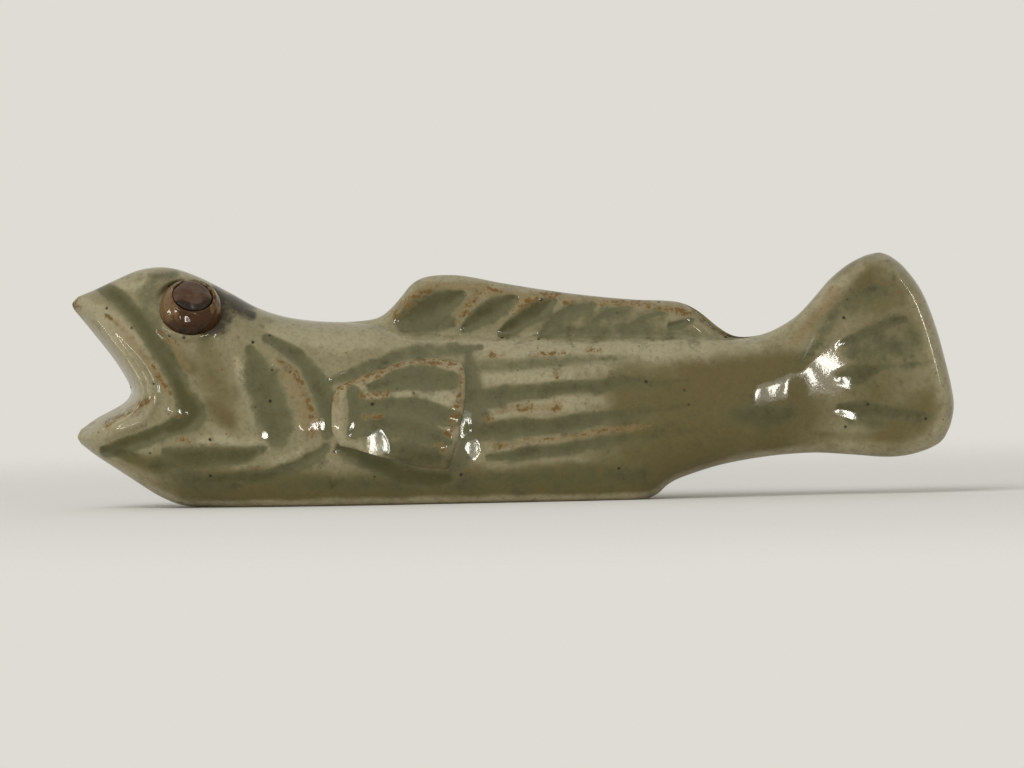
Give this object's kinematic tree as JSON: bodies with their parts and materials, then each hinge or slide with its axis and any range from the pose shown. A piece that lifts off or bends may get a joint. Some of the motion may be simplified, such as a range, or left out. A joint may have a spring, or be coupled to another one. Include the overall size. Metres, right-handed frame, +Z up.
{
  "type": "chopstick rest",
  "caption": "Fish-shaped glazed stoneware chopstick rest that stands on a flat belly foot and holds a chopstick across its back.",
  "frame": {"origin": "bottom centre of the whole part's box, on the plane of the foot", "axes": "+Z up, head to -X and tail to +X, left side of the fish to -Y, mould seam in the XZ plane"},
  "size_m": [0.086, 0.0156, 0.0236],
  "materials": {
    "celadon_glaze": "glossy transparent celadon to olive glaze, rust on thin edges",
    "iron_amber_glaze": "glossy iron amber glaze",
    "iron_dark_glaze": "glossy dark iron glaze"
  },
  "bodies": {
    "root": {"body_left_half": "celadon_glaze", "body_right_half": "celadon_glaze", "pectoral_fin_left": "celadon_glaze", "pectoral_fin_right": "celadon_glaze", "eye_left": "iron_amber_glaze", "eye_right": "iron_amber_glaze", "pupil_left": "iron_dark_glaze", "pupil_right": "iron_dark_glaze"}
  },
  "joints": []
}
